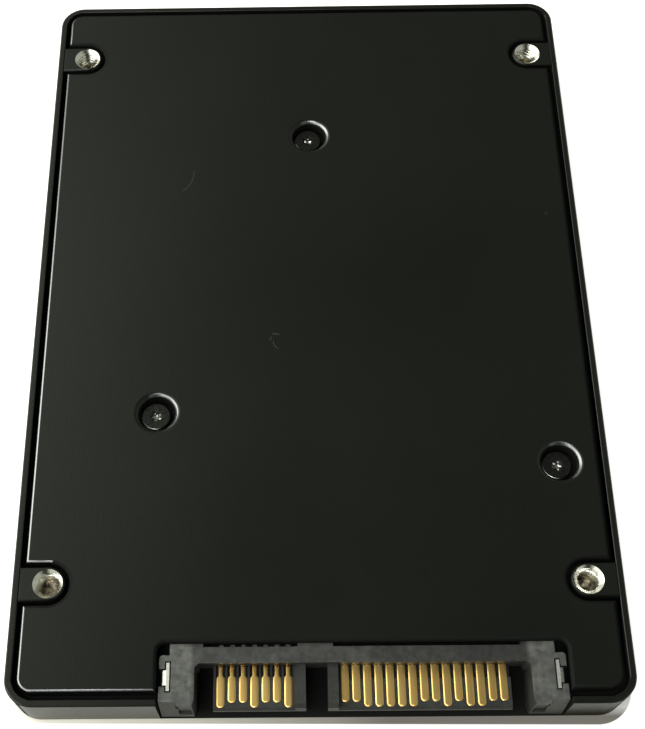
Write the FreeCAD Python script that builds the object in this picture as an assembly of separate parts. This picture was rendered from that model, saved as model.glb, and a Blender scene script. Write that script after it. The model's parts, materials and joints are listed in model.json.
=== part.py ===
import FreeCAD, Part
import math
import os

# Solid state drive of the 2.5-inch size, lying on its label side with the mounting
# face up and the connector towards -Y. Millimetres. The origin is the middle of the
# underside. Distances called "from front" start at the connector end of the case.

# Outer size of the drive
drive_length = 100.0
drive_width = 69.85
drive_height = 7.0
corner_radius = 3.2

# Main case: a tub whose rim stands round the cover
floor_thickness = 0.8
rim_thickness = 0.79
rim_drop = 0.1
rim_edge_bevel = 0.15
base_edge_bevel = 0.2
ledge_margin = 0.2
board_standoff = 1.1
board_shelf = 0.9
inner_corner_radius = 1.2

# M3 mounting holes, four in the mounting face and two in each long side
mount_inset_side = 4.065
mount_inset_front = 14.0
mount_inset_back = 9.4
mount_hole_radius = 1.25
mount_hole_depth = 3.0
mount_chamfer = 0.48
side_hole_drop = 3.0
side_hole_depth = 2.5
pad_radius = 2.0
pad_edge_bevel = 0.15

# Cover: a drawn plate with a short skirt that stands on the case's ledge
cover_thickness = 0.7
cover_depth = 1.8
cover_gap_side = 0.56
cover_gap_front = 0.79
cover_gap_back = 0.54
cover_corner_radius = 1.75
cover_edge_bevel = 0.24
notch_gap = 0.47

# Cover screws, their cups in the cover and their posts in the case. The cover is put on
# with a little play, so its cups stand this shift to the right of the screws.
cup_radius = 2.15
cup_depth = 1.9
cup_edge_bevel = 0.45
cup_shift = 0.2
cup_hole_radius = 1.1
screw_head_radius = 1.825
screw_head_height = 0.8
screw_head_bevel = 0.2
screw_shank_radius = 0.8
screw_length = 3.2
screw_clearance = 0.02
recess_root_radius = 0.4
recess_point_radius = 0.62
recess_points = 5
recess_depth = 0.5
post_radius = 2.0
post_bottom_gap = 0.3
middle_screw_offset = -0.1
middle_screw_from_front = 76.8
left_screw_offset = 19.3
left_screw_from_front = 35.5
right_screw_inset = 6.025
right_screw_from_front = 28.55

# Circuit board
board_thickness = 1.0
board_gap = 0.3
board_tab_from_nose = 1.4

# Connector: blade pitch, levels and outline
connector_offset = 4.8
contact_pitch = 1.27
tongue_spacing = 6.35
signal_count = 7
power_count = 15
tongue_centre_drop = 3.5
tongue_thickness = 1.2
tongue_length = 5.0
tongue_margin = 0.83
tongue_nose = 0.3
connector_recess = 0.1
key_gap = 0.75
key_width = 1.2
key_height = 1.2
key_nose = 0.5
housing_half_width = 22.65
body_half_width = 21.5
cavity_half_width = 18.7
cavity_corner = 0.45
arm_lead_in = 0.25
arm_lead_length = 0.7
bar_lean = 0.25
housing_back = 7.2
bar_back = 6.6
ear_back = 5.7
ear_radius = 0.45
ear_slope_start = 0.45
ear_slope_foot = 0.7
ear_slope_inset = 2.05
ear_window_front = 2.2
ear_window_back = 4.15
ear_groove_width = 0.5
ear_groove_depth = 0.4
ear_groove_top = 0.35
ear_groove_height = 2.0
arm_recess_top = 1.0
arm_recess_depth = 0.35
arm_lip_width = 0.35
lower_front_length = 1.1
window_end = 17.75
window_rib_left = 7.2
window_rib_right = 3.2
sill_lip = 0.1
sill_slope = 0.9
opening_gap = 0.25
skirt_tuck = 0.25

# Contacts: blades with a rounded tip, an inner tail and a solder foot
contact_width = 0.89
contact_neck = 0.5
contact_thickness = 0.17
contact_stand = 0.1
contact_edge = 0.07
contact_setback = 0.3
contact_lag = 0.55
contact_tip_length = 0.35
tip_flat_deg = 25
tip_steps = 2
neck_from_root = 1.38
neck_taper = 0.25
riser_height = 1.15
riser_stand = 0.08
pilot_width = 0.24
pilot_height = 0.65
tail_thickness = 0.15
foot_length = 0.9
pocket_depth = 0.8
signal_pocket_width = 1.06
power_pocket_width = 0.5
power_pocket_length = 1.5
long_signal_contacts = (1, 4, 7)
long_power_contacts = (3, 4, 5, 6, 7, 10, 12, 13)

# Board locks in the connector's ears
lock_thickness = 0.36
lock_inset = 0.82
lock_front = 1.7
lock_back = 4.85
lock_below_board = 0.3
lock_bulge = 0.42
lock_bulge_height = 2.2
lock_bulge_drop = 0.2
lock_slot_gap = 0.15
lock_slot_depth = 1.0

# Parts on the board: length along X, width along Y, height
controller_size = (17.0, 17.0, 1.3)
controller_from_front = 24.0
cache_size = (8.0, 12.0, 1.1)
cache_offset = -13.0
cache_from_front = 20.0
flash_size = (14.0, 18.0, 1.2)
flash_low_height = 0.9
flash_offset = 18.5
flash_clearance = 0.5
flash_pitch = 22.0
power_chip_size = (5.0, 5.0, 0.9)
inductor_size = (4.0, 4.0, 2.0)
supply_offset = 21.0
supply_from_front = 13.5
supply_pitch = 6.5
crystal_size = (3.2, 2.5, 0.8)
crystal_offset = -4.0
crystal_from_front = 12.0
capacitor_size = (7.3, 4.3, 2.1)
capacitor_offset = 5.0
capacitor_pitch = 6.0
capacitor_rows = 3
capacitor_from_screw = 10.8
pad_overlap = 1.0
flash_pad_width = 10.0

# Places worked out from the sizes above
front = -drive_length / 2
back = drive_length / 2
right = drive_width / 2
floor_top = floor_thickness
board_bottom = floor_top + board_standoff
board_top = board_bottom + board_thickness
ledge_level = drive_height - cover_depth
rim_level = drive_height - rim_drop
cover_underside = drive_height - cover_thickness
wall_inset = cover_thickness + ledge_margin
board_inset = wall_inset + board_gap
notch_radius = pad_radius + notch_gap
boss_reach = notch_radius + cover_thickness + ledge_margin
cup_floor = drive_height - cup_depth
post_top = cup_floor - cover_thickness
cover_right = right - rim_thickness - cover_gap_side
cover_front = front + rim_thickness + cover_gap_front
cover_back = back - rim_thickness - cover_gap_back
root_level = floor_top / 2
overshoot = 1.0
tolerance = 1e-5

mount_x = right - mount_inset_side
mount_places = [
    (side * mount_x, y, side)
    for side in (-1, 1)
    for y in (front + mount_inset_front, back - mount_inset_back)
]
screw_places = [
    (middle_screw_offset, front + middle_screw_from_front),
    (-left_screw_offset, front + left_screw_from_front),
    (right - right_screw_inset, front + right_screw_from_front),
]
cup_places = [(x + cup_shift, y) for x, y in screw_places]

# Connector levels and lines
nose = front + connector_recess
tongue_bottom = drive_height - tongue_centre_drop - tongue_thickness / 2
contact_top = tongue_bottom + tongue_thickness
tongue_top = contact_top - contact_stand
contact_bottom = contact_top - contact_thickness
key_top = contact_top + key_height
housing_top = cover_underside
bar_foot = nose + tongue_length
bar_edge = bar_foot - bar_lean
contact_span = (signal_count - 1 + power_count - 1) * contact_pitch + tongue_spacing
first_signal = connector_offset - contact_span / 2
last_signal = first_signal + (signal_count - 1) * contact_pitch
first_power = last_signal + tongue_spacing
last_power = first_power + (power_count - 1) * contact_pitch
tail_back = nose + bar_back + tail_thickness
opening_left = connector_offset - housing_half_width - opening_gap
opening_right = connector_offset + housing_half_width + opening_gap
opening_back = nose + housing_back - skirt_tuck


def box(x0, x1, y0, y1, z0, z1):
    return Part.makeBox(x1 - x0, y1 - y0, z1 - z0, FreeCAD.Vector(x0, y0, z0))


def cylinder(x, y, z0, z1, radius):
    return Part.makeCylinder(radius, z1 - z0, FreeCAD.Vector(x, y, z0))


def prism(points, direction):
    """Extrudes a closed outline of points along a direction."""
    corners = [FreeCAD.Vector(*point) for point in points]
    face = Part.Face(Part.makePolygon(corners + corners[:1]))
    return face.extrude(FreeCAD.Vector(*direction))


def rounded_slab(x0, x1, y0, y1, z0, z1, radius):
    """A block with its four upright edges rounded."""
    block = box(x0, x1, y0, y1, z0, z1)
    upright = [edge for edge in block.Edges if is_upright(edge)]
    return block.makeFillet(radius, upright)


def is_upright(edge):
    start = edge.Vertexes[0].Point
    end = edge.Vertexes[-1].Point
    shift = math.hypot(end.x - start.x, end.y - start.y)
    return shift < tolerance and abs(end.z - start.z) > tolerance


def inset_slab(inset, z0, z1, radius):
    """A slab of the drive's outline, moved inwards by an inset."""
    return rounded_slab(inset - right, right - inset, front + inset, back - inset, z0, z1, radius)


def cover_slab(inset, z0, z1, radius):
    """A slab of the cover's outline, moved inwards by an inset."""
    x = cover_right - inset
    return rounded_slab(-x, x, cover_front + inset, cover_back - inset, z0, z1, radius)


def edges_at(shape, z):
    """The edges that lie flat at one height."""
    return [
        edge
        for edge in shape.Edges
        if abs(edge.BoundBox.ZMin - z) < tolerance and abs(edge.BoundBox.ZMax - z) < tolerance
    ]


def tab(x, y, side, radius, x_outer, z0, z1):
    """A tongue-shaped block: round at the inner end, straight out to one side."""
    x0, x1 = sorted((x, side * x_outer))
    straight = box(x0, x1, y - radius, y + radius, z0, z1)
    return straight.fuse(cylinder(x, y, z0, z1, radius)).removeSplitter()


def mount_block(x, y, side, reach, x_outer, z0, z1):
    """A plain block round a mounting hole, out to one side."""
    x0, x1 = sorted((x - side * reach, side * x_outer))
    return box(x0, x1, y - reach, y + reach, z0, z1)


def contact_x(start, number):
    return start + (number - 1) * contact_pitch


def flared_mouth(x, y, radius, flare):
    """The cone that widens a hole where it meets the mounting face."""
    foot = FreeCAD.Vector(x, y, drive_height - flare)
    return Part.makeCone(radius, radius + flare, flare, foot)


def main_case():
    tub = inset_slab(0, 0, rim_level, corner_radius)
    tub = tub.makeChamfer(rim_edge_bevel, edges_at(tub, rim_level))
    tub = tub.makeChamfer(base_edge_bevel, edges_at(tub, 0))
    rim_inner_radius = corner_radius - rim_thickness
    tub = tub.cut(inset_slab(rim_thickness, ledge_level, drive_height, rim_inner_radius))
    tub = tub.cut(cover_slab(wall_inset, board_bottom, drive_height, inner_corner_radius))
    shelf_inset = wall_inset + board_shelf
    tub = tub.cut(cover_slab(shelf_inset, floor_top, drive_height, inner_corner_radius))

    tub = tub.cut(gate())
    for x, y, side in mount_places:
        outer = right - rim_thickness / 2
        tub = tub.fuse(mount_block(x, y, side, boss_reach, outer, root_level, ledge_level))
        tub = tub.fuse(mounting_pad(x, y, side))
    for x, y in screw_places:
        tub = tub.fuse(cylinder(x, y, root_level, post_top, post_radius))
    for x, y, side in mount_places:
        tub = tub.cut(mounting_hole(x, y)).cut(side_hole(y, side))
    for x, y in screw_places:
        hole_bottom = cup_floor - screw_length - post_bottom_gap
        tub = tub.cut(cylinder(x, y, hole_bottom, post_top, screw_shank_radius + screw_clearance))
    return tub.removeSplitter()


def gate():
    """The opening in the front wall, over a sill that slopes down to the front."""
    lip_level = base_edge_bevel + sill_lip
    gate_back = nose + housing_back
    side = [
        (opening_left, front - overshoot, lip_level),
        (opening_left, front, lip_level),
        (opening_left, front + sill_slope, floor_top),
        (opening_left, gate_back, floor_top),
        (opening_left, gate_back, drive_height),
        (opening_left, front - overshoot, drive_height),
    ]
    return prism(side, (opening_right - opening_left, 0, 0))


def mounting_pad(x, y, side):
    """The raised land round a mounting hole, joined to the rim."""
    pad = tab(x, y, side, pad_radius, right - rim_thickness, ledge_level, drive_height)
    return pad.makeChamfer(pad_edge_bevel, edges_at(pad, drive_height))


def mounting_hole(x, y):
    bore = cylinder(x, y, drive_height - mount_hole_depth, drive_height, mount_hole_radius)
    return bore.fuse(flared_mouth(x, y, mount_hole_radius, mount_chamfer))


def side_hole(y, side):
    start = FreeCAD.Vector(side * right, y, drive_height - side_hole_drop)
    inwards = FreeCAD.Vector(-side, 0, 0)
    return Part.makeCylinder(mount_hole_radius, side_hole_depth, start, inwards)


def screw_cup(x, y):
    """The room in one cup, with its flared mouth and the screw's hole in its floor."""
    room = cylinder(x, y, cup_floor, drive_height, cup_radius)
    room = room.fuse(cylinder(x, y, post_top, cup_floor, cup_hole_radius))
    return room.fuse(flared_mouth(x, y, cup_radius, cup_edge_bevel))


def bottom_cover():
    plate = cover_slab(0, ledge_level, drive_height, cover_corner_radius)
    hollow_radius = cover_corner_radius - cover_thickness
    hollow = cover_slab(cover_thickness, ledge_level, cover_underside, hollow_radius)
    for x, y, side in mount_places:
        grown = tab(x, y, side, notch_radius + cover_thickness, right, ledge_level, drive_height)
        hollow = hollow.cut(grown)
    plate = plate.cut(hollow)
    for x, y in cup_places:
        plate = plate.fuse(cylinder(x, y, post_top, cover_underside, cup_radius + cover_thickness))
    for x, y, side in mount_places:
        plate = plate.cut(tab(x, y, side, notch_radius, right, ledge_level, drive_height))
    opening = rounded_slab(
        opening_left,
        opening_right,
        front - corner_radius,
        opening_back,
        post_top,
        drive_height + overshoot,
        overshoot,
    )
    plate = plate.cut(opening).removeSplitter()
    plate = plate.makeChamfer(cover_edge_bevel, edges_at(plate, drive_height))
    for x, y in cup_places:
        plate = plate.cut(screw_cup(x, y))
    return plate


def cover_screw(x, y):
    """A flat head with a five-pointed recess, on a plain shank."""
    head_top = cup_floor + screw_head_height
    head = cylinder(x, y, cup_floor, head_top, screw_head_radius)
    head = head.makeChamfer(screw_head_bevel, edges_at(head, head_top))
    shank = cylinder(x, y, cup_floor - screw_length, cup_floor, screw_shank_radius)
    star = []
    for corner in range(2 * recess_points):
        turn = math.pi * corner / recess_points
        radius = recess_root_radius if corner % 2 else recess_point_radius
        star.append((x + radius * math.cos(turn), y + radius * math.sin(turn), head_top))
    recess = prism(star, (0, 0, -recess_depth))
    return head.fuse(shank).cut(recess).removeSplitter()


def cover_screws():
    return Part.makeCompound([cover_screw(x, y) for x, y in screw_places])


def circuit_board():
    board = cover_slab(board_inset, board_bottom, board_top, inner_corner_radius)
    tab_half = body_half_width + lock_thickness + board_gap
    board = board.fuse(
        box(
            connector_offset - tab_half,
            connector_offset + tab_half,
            nose + board_tab_from_nose,
            cover_front + board_inset + inner_corner_radius,
            board_bottom,
            board_top,
        )
    )
    slot_half = cavity_half_width + arm_lead_length + board_gap
    board = board.cut(
        box(
            connector_offset - slot_half,
            connector_offset + slot_half,
            front,
            bar_foot + board_gap,
            board_bottom,
            board_top,
        )
    )
    for x, y, side in mount_places:
        reach = boss_reach + board_gap
        board = board.cut(mount_block(x, y, side, reach, right, board_bottom, board_top))
    for x, y in screw_places:
        board = board.cut(cylinder(x, y, board_bottom, board_top, post_radius + board_gap))
    for side in (-1, 1):
        board = board.cut(lock_blade(side))
    return board.removeSplitter()


def lock_blade(side):
    outer = connector_offset + side * (housing_half_width - lock_inset)
    x0, x1 = sorted((outer, outer - side * lock_thickness))
    return box(
        x0, x1, nose + lock_front, nose + lock_back, board_bottom - lock_below_board, housing_top
    )


def board_lock(side):
    """A flat blade through the board, with a spring bulge in the ear's window."""
    outer = connector_offset + side * (housing_half_width - lock_inset)
    y0 = nose + ear_window_front + board_gap / 2
    y1 = nose + ear_window_back - board_gap / 2
    low = housing_top - lock_bulge_height
    bulge = prism(
        [
            (outer, y0, housing_top),
            (outer + side * lock_bulge, y0, housing_top - lock_bulge_drop),
            (outer + side * lock_bulge, y0, low),
            (outer, y0, low),
        ],
        (0, y1 - y0, 0),
    )
    return lock_blade(side).fuse(bulge).removeSplitter()


def lock_slot(side):
    """The wider mouth of the slot that a board lock is pressed into."""
    blade = lock_blade(side).BoundBox
    return box(
        blade.XMin - lock_slot_gap,
        blade.XMax + lock_slot_gap,
        blade.YMin - lock_slot_gap,
        blade.YMax + lock_slot_gap,
        housing_top - lock_slot_depth,
        housing_top,
    )


def bar_face(z):
    """The leaning front face of the connector's back bar at one height."""
    return bar_foot - bar_lean * (z - tongue_top) / (housing_top - tongue_top)


def contact_outline(x, tip, root, width_at_root):
    """Plan of one blade: rounded tip, full width, and a neck where it has one."""
    half = contact_width / 2
    root_half = width_at_root / 2
    shoulder = root - neck_from_root
    left_side = []
    for step in range(tip_steps + 1):
        turn = math.radians(tip_flat_deg + (90 - tip_flat_deg) * step / tip_steps)
        along = 1 - math.cos(turn) / math.cos(math.radians(tip_flat_deg))
        left_side.append(
            (x - half * math.sin(turn), tip + contact_tip_length * along, contact_bottom)
        )
    if width_at_root < contact_width:
        left_side.append((x - half, shoulder, contact_bottom))
        left_side.append((x - root_half, shoulder + neck_taper, contact_bottom))
    left_side.append((x - root_half, root, contact_bottom))
    right_side = [(2 * x - px, py, pz) for px, py, pz in reversed(left_side)]
    return left_side + right_side


def contact_tip(number, long_ones):
    lag = 0 if number in long_ones else contact_lag
    return nose + contact_setback + lag


def contact_blade(x, tip, width_at_root):
    blade = prism(contact_outline(x, tip, bar_foot, width_at_root), (0, 0, contact_thickness))
    rim = [edge for edge in edges_at(blade, contact_top) if edge.BoundBox.YMin < bar_foot - tolerance]
    return blade.makeChamfer(contact_edge, rim)


def contact_tail(x, width, level):
    """The strip through the back bar, down to the board, with its solder foot."""
    half = width / 2
    through = box(x - half, x + half, bar_foot, tail_back, level - contact_thickness, level)
    drop = box(x - half, x + half, tail_back - tail_thickness, tail_back, board_top, level)
    foot_end = tail_back + foot_length
    foot = box(x - half, x + half, tail_back, foot_end, board_top, board_top + tail_thickness)
    return through.fuse(drop).fuse(foot)


def signal_contact(number):
    """A data blade: its neck climbs the back bar and leaves it at a higher level."""
    x = contact_x(first_signal, number)
    half = contact_neck / 2
    level = contact_top + riser_height
    blade = contact_blade(x, contact_tip(number, long_signal_contacts), contact_neck)
    riser = prism(
        [
            (x - half, bar_face(contact_bottom) - riser_stand, contact_bottom),
            (x - half, bar_face(level) - riser_stand, level),
            (x - half, bar_foot, level),
            (x - half, bar_foot, contact_bottom),
        ],
        (contact_neck, 0, 0),
    )
    contact = blade.fuse(riser).fuse(contact_tail(x, contact_neck, level))
    return contact.cut(pilot_hole(number)).removeSplitter()


def pilot_hole(number):
    """The small square hole through a data blade's riser, open to the bar behind it."""
    x = contact_x(first_signal, number)
    half = pilot_width / 2
    middle = contact_top + pilot_height
    start = bar_edge - riser_stand
    return box(x - half, x + half, start, bar_foot, middle - half, middle + half)


def power_contact(number):
    x = contact_x(first_power, number)
    blade = contact_blade(x, contact_tip(number, long_power_contacts), contact_width)
    return blade.fuse(contact_tail(x, contact_neck, contact_top)).removeSplitter()


def tongue(x0, x1):
    """One tongue between its two side edges, with bevelled top and bottom noses."""
    side = [
        (x0, nose, tongue_bottom + tongue_nose),
        (x0, nose, tongue_top - tongue_nose),
        (x0, nose + tongue_nose, tongue_top),
        (x0, bar_foot, tongue_top),
        (x0, bar_foot, tongue_bottom),
        (x0, nose + tongue_nose, tongue_bottom),
    ]
    return prism(side, (x1 - x0, 0, 0))


def key_leg(x0):
    """The short leg of a tongue's L, with a sloped nose."""
    side = [
        (x0, nose, tongue_bottom + tongue_nose),
        (x0, nose, key_top - key_nose),
        (x0, nose + key_nose, key_top),
        (x0, bar_foot, key_top),
        (x0, bar_foot, tongue_bottom),
        (x0, nose + tongue_nose, tongue_bottom),
    ]
    return prism(side, (key_width, 0, 0))


def guide_arm(side):
    """One side of the housing: guide wall, ear with its sloped front, and ear window."""

    def across(near, far, y0, y1, z0, z1):
        x0, x1 = sorted((connector_offset + side * near, connector_offset + side * far))
        return box(x0, x1, nose + y0, nose + y1, z0, z1)

    body = across(cavity_half_width, body_half_width, 0, housing_back, board_top, housing_top)
    ear = across(cavity_half_width, housing_half_width, 0, ear_back, board_top, housing_top)
    corners = [
        edge
        for edge in ear.Edges
        if is_upright(edge)
        and abs(edge.BoundBox.YMin - nose - ear_back) < tolerance
        and abs(abs(edge.BoundBox.XMin - connector_offset) - housing_half_width) < tolerance
    ]
    ear = ear.makeFillet(ear_radius, corners)
    lower_wall = across(
        cavity_half_width, cavity_half_width + arm_lead_length, 0, tongue_length, floor_top, board_top
    )
    lower_front = across(
        cavity_half_width, housing_half_width, 0, lower_front_length, floor_top, board_top
    )
    arm = body.fuse(ear).fuse(lower_wall).fuse(lower_front)

    slope_x = connector_offset + side * (housing_half_width - ear_slope_inset)
    outer_x = connector_offset + side * (housing_half_width + overshoot)
    slope = prism(
        [
            (slope_x, nose, floor_top + ear_slope_foot),
            (slope_x, nose + ear_slope_start, housing_top),
            (slope_x, nose, housing_top),
        ],
        (outer_x - slope_x, 0, 0),
    )
    groove = across(
        housing_half_width - ear_slope_inset - ear_groove_width / 2,
        housing_half_width - ear_slope_inset + ear_groove_width / 2,
        0,
        ear_groove_depth,
        housing_top - ear_groove_top - ear_groove_height,
        housing_top - ear_groove_top,
    )
    window = across(
        housing_half_width - lock_inset,
        housing_half_width + overshoot,
        ear_window_front,
        ear_window_back,
        board_top,
        housing_top,
    )
    wall_x = connector_offset + side * cavity_half_width
    lead_in = prism(
        [
            (wall_x, nose, floor_top),
            (wall_x + side * arm_lead_in, nose, floor_top),
            (wall_x, nose + arm_lead_length, floor_top),
        ],
        (0, 0, housing_top - floor_top),
    )
    recess = across(
        cavity_half_width + arm_lip_width,
        housing_half_width - ear_slope_inset,
        0,
        arm_recess_depth,
        board_bottom,
        housing_top - arm_recess_top,
    )
    for tool in (slope, groove, window, lead_in, recess):
        arm = arm.cut(tool)
    return arm


def back_bar():
    """The bar behind the tongues, with two windows at its back for the tails."""
    half = cavity_half_width + arm_lead_length
    x0 = connector_offset - half
    bar_side = [
        (x0, bar_foot, tongue_bottom),
        (x0, bar_foot, tongue_top),
        (x0, bar_edge, housing_top),
        (x0, nose + housing_back, housing_top),
        (x0, nose + housing_back, board_top),
        (x0, bar_foot + board_gap, board_top),
        (x0, bar_foot + board_gap, tongue_bottom),
    ]
    bar = prism(bar_side, (2 * half, 0, 0))
    for start, end in ((-window_end, -window_rib_left), (-window_rib_right, window_end)):
        bar = bar.cut(
            box(
                connector_offset + start,
                connector_offset + end,
                nose + bar_back,
                nose + housing_back,
                board_top,
                housing_top,
            )
        )
    return bar


def cavity_corner_block(side):
    """The bevel where a guide wall meets the back bar."""
    wall_x = connector_offset + side * cavity_half_width
    return prism(
        [
            (wall_x, bar_edge - cavity_corner, board_top),
            (wall_x - side * cavity_corner, bar_edge, board_top),
            (wall_x - side * cavity_corner, bar_foot, board_top),
            (wall_x, bar_foot, board_top),
        ],
        (0, 0, housing_top - board_top),
    )


def contact_pockets():
    """Cored pockets beside the blades, at the root of the tongues."""
    pockets = []
    floor = tongue_top - pocket_depth
    for number in range(1, signal_count + 1):
        x = contact_x(first_signal, number)
        half = signal_pocket_width / 2
        shoulder = bar_foot - neck_from_root
        pockets.append(box(x - half, x + half, shoulder, bar_foot, floor, tongue_top))
    for number in range(power_count + 1):
        x = contact_x(first_power, number) + contact_pitch / 2
        half = power_pocket_width / 2
        start = bar_foot - power_pocket_length
        pockets.append(box(x - half, x + half, start, bar_foot, floor, tongue_top))
    return Part.makeCompound(pockets)


def connector_housing(inserts):
    """The moulded body. Contacts and board locks are moulded or pressed into it."""
    housing = back_bar()
    for side in (-1, 1):
        housing = housing.fuse(guide_arm(side)).fuse(cavity_corner_block(side))
    signal_key = last_signal + key_gap
    power_key = first_power - key_gap - key_width
    housing = housing.fuse(tongue(first_signal - tongue_margin, signal_key))
    housing = housing.fuse(key_leg(signal_key))
    housing = housing.fuse(tongue(power_key + key_width, last_power + tongue_margin))
    housing = housing.fuse(key_leg(power_key))
    housing = housing.cut(contact_pockets())
    for insert in inserts:
        housing = housing.cut(insert)
    for side in (-1, 1):
        housing = housing.cut(lock_slot(side))
    for number in range(1, signal_count + 1):
        housing = housing.cut(pilot_hole(number))
    return housing.removeSplitter()


def block_part(size, x, y, z):
    """A packaged part, sawn square as such parts are, standing at one height."""
    length, width, height = size
    return box(x - length / 2, x + length / 2, y - width / 2, y + width / 2, z, z + height)


def pad_between(x, y, length, width, z0):
    """A soft pad from a chip's top to the cover."""
    return box(x - length / 2, x + length / 2, y - width / 2, y + width / 2, z0, cover_underside)


def board_parts():
    """What the board carries, by node name."""
    parts = {}
    controller_y = front + controller_from_front
    parts["controller_chip"] = block_part(controller_size, connector_offset, controller_y, board_top)
    parts["thermal_pad_controller"] = pad_between(
        connector_offset,
        controller_y,
        controller_size[0] - pad_overlap,
        controller_size[1] - pad_overlap,
        board_top + controller_size[2],
    )
    parts["cache_chip"] = block_part(cache_size, cache_offset, front + cache_from_front, board_top)
    parts["clock_crystal"] = block_part(
        crystal_size, crystal_offset, front + crystal_from_front, board_top
    )
    parts["power_chip"] = block_part(
        power_chip_size, supply_offset, front + supply_from_front, board_top
    )
    for number in (1, 2):
        y = front + supply_from_front + number * supply_pitch
        parts[f"inductor_{number}"] = block_part(inductor_size, supply_offset, y, board_top)

    mount_reach = boss_reach + board_gap + flash_clearance
    rear_row = back - mount_inset_back - mount_reach - flash_size[1] / 2
    front_row = rear_row - flash_pitch
    low_size = (flash_size[0], flash_size[1], flash_low_height)
    number = 0
    for level, size in ((board_top, flash_size), (board_bottom - flash_low_height, low_size)):
        for y in (front_row, rear_row):
            for x in (-flash_offset, flash_offset):
                number += 1
                parts[f"flash_chip_{number}"] = block_part(size, x, y, level)
    middle = (front_row + rear_row) / 2
    pad_width = flash_pitch + flash_size[1] - pad_overlap
    for name, x in (("left", -flash_offset), ("right", flash_offset)):
        parts[f"thermal_pad_{name}"] = pad_between(
            x, middle, flash_pad_width, pad_width, board_top + flash_size[2]
        )

    number = 0
    last_row = front + middle_screw_from_front - capacitor_from_screw
    for row in range(capacitor_rows):
        for x in (-capacitor_offset, capacitor_offset):
            number += 1
            y = last_row - row * capacitor_pitch
            parts[f"hold_up_capacitor_{number}"] = block_part(capacitor_size, x, y, board_top)
    return parts


def export(name, shape):
    shape.exportStep(f"parts/{name}.step")
    print(f"{name}: {len(shape.Solids)} solid, {shape.Volume:.2f} mm3, valid {shape.isValid()}")


def build():
    parts = {
        "main_case": main_case(),
        "bottom_cover": bottom_cover(),
        "cover_screws": cover_screws(),
        "circuit_board": circuit_board(),
    }
    inserts = {}
    for number in range(1, signal_count + 1):
        inserts[f"signal_contact_{number}"] = signal_contact(number)
    for number in range(1, power_count + 1):
        inserts[f"power_contact_{number}"] = power_contact(number)
    inserts["board_lock_left"] = board_lock(-1)
    inserts["board_lock_right"] = board_lock(1)
    parts["connector_housing"] = connector_housing(inserts.values())
    parts.update(inserts)
    parts.update(board_parts())
    return parts


os.makedirs("parts", exist_ok=True)
for node_name, node_shape in build().items():
    export(node_name, node_shape)
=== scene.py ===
# %% [markdown]
# # Dressing a solid state drive
#
# This lesson takes the bare model of a 2.5-inch solid state drive and gives it its finish: satin black
# paint, tapped aluminium holes, blackened screws, a moulded connector and gold-plated blades. The model
# comes in as a fixed frame. It is never moved, so each new piece is simply made where its part already is.

# %% Load the frame
import json
import math

import bmesh
import bpy
from mathutils import Matrix, Vector


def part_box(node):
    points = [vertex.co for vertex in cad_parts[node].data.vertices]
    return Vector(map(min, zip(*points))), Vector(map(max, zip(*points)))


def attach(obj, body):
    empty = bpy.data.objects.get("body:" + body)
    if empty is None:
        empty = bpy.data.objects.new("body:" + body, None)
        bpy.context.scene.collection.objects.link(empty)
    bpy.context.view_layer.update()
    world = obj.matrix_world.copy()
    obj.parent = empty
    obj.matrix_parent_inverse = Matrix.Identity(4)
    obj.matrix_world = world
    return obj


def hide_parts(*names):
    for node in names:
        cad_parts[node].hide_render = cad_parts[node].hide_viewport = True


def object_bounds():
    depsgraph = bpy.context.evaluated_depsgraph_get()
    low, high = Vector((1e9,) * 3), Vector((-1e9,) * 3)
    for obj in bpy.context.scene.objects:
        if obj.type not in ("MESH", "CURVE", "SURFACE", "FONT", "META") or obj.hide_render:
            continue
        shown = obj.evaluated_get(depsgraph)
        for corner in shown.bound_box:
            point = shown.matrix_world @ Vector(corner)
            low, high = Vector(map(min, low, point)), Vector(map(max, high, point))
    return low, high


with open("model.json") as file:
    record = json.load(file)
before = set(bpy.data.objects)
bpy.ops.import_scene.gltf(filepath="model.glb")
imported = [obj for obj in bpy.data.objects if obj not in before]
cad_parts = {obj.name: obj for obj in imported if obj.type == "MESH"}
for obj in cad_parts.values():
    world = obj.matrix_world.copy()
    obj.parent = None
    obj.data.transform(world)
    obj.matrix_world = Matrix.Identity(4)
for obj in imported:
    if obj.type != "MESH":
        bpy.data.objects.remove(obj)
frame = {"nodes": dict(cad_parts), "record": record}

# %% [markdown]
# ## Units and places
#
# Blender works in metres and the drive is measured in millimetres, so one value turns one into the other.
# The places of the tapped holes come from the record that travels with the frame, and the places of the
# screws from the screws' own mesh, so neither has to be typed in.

MM = 0.001
CAD_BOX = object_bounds()
TOP = CAD_BOX[1].z
print("bare model, mm:", [round((high - low) / MM, 3) for low, high in zip(*CAD_BOX)])


# %% [markdown]
# ## The tapped holes
#
# Four holes in the face and two in each side hold the drive in its bay. The record gives each pattern's
# middle, its spacing and the way its holes look. The mouths are worked out from those, at the surface
# that the holes open into.

# %% Where the tapped holes are
def bolt_holes(mount):
    """The holes of one bolt pattern in the record, as (mouth, direction out of the hole)."""
    middle = Vector(mount["pos_m"])
    out = Vector(mount["axis"])
    dims = mount["dims"]
    along_y = dims.get("spacing_y_mm", dims["spacing_x_mm"]) * MM / 2
    along_x = dims["spacing_x_mm"] * MM / 2 if "spacing_y_mm" in dims else 0.0
    places = {
        (side * along_x, end * along_y) for side in (-1, 1) for end in (-1, 1)
    }
    holes = []
    for x, y in sorted(places):
        mouth = middle + Vector((x, y, 0))
        if out.z:
            mouth.z = TOP
        else:
            mouth.x = CAD_BOX[1].x * out.x
        holes.append((mouth, out))
    return holes


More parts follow.
